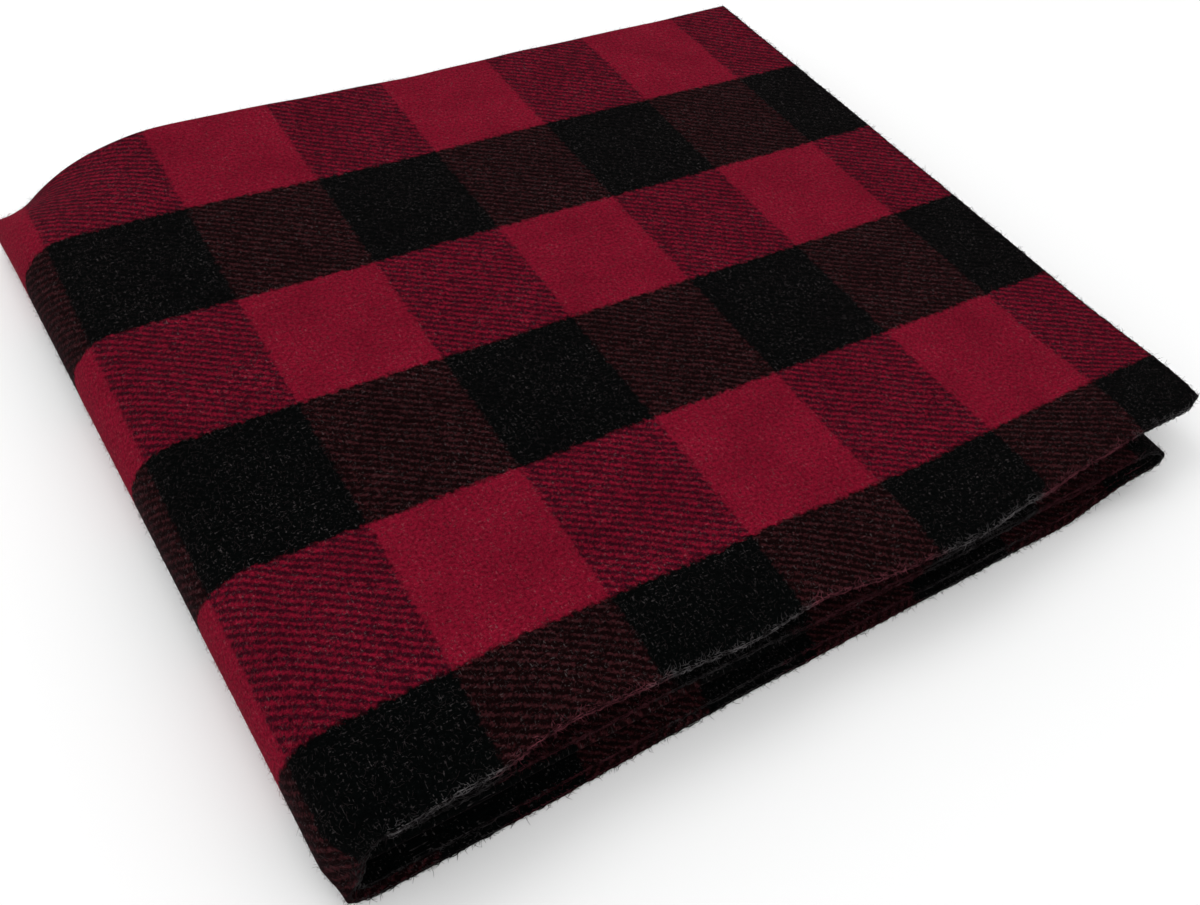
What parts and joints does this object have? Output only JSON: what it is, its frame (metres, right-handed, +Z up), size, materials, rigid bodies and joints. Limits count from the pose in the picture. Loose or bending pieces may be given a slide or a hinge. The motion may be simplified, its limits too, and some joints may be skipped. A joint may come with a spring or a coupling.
{
  "type": "camp blanket",
  "caption": "Folded wool camp blanket in a red and black block check, a flat packet whose top panel opens like a book cover.",
  "frame": {"origin": "middle of the folded packet, on the surface it lies on", "axes": "+X across the packet from the tall book fold to the free side edge, +Y from the stitched front edges to the folded back, +Z up"},
  "size_m": [0.423, 0.381, 0.044],
  "materials": {
    "wool_check": "napped wool-blend twill in a red and black block check, matt with a soft nap",
    "hem_yarn": "whip-stitched wool yarn along the cut edges, fuzzy and matt"
  },
  "bodies": {
    "base": {"bottom_panel": "wool_check", "bottom_panel_outer_hem": "hem_yarn", "bottom_panel_second_hem": "hem_yarn", "right_fold": "wool_check", "right_fold_outer_hem": "hem_yarn", "right_fold_second_hem": "hem_yarn", "inner_panel": "wool_check", "inner_panel_outer_hem": "hem_yarn", "inner_panel_second_hem": "hem_yarn", "inner_panel_side_hems": "hem_yarn", "book_fold": "wool_check", "book_fold_outer_hem": "hem_yarn", "book_fold_second_hem": "hem_yarn"},
    "cover": {"top_panel": "wool_check", "top_panel_outer_hem": "hem_yarn", "top_panel_second_hem": "hem_yarn", "top_panel_side_hems": "hem_yarn"}
  },
  "joints": [
    {"name": "top_panel_fold", "type": "hinge", "parent": "base", "child": "cover", "pos_m": [-0.1895, 0, 0.022], "axis": [0, -1, 0], "range_deg": [0, 179.9], "deforming": ["book_fold", "book_fold_outer_hem", "book_fold_second_hem"]}
  ]
}
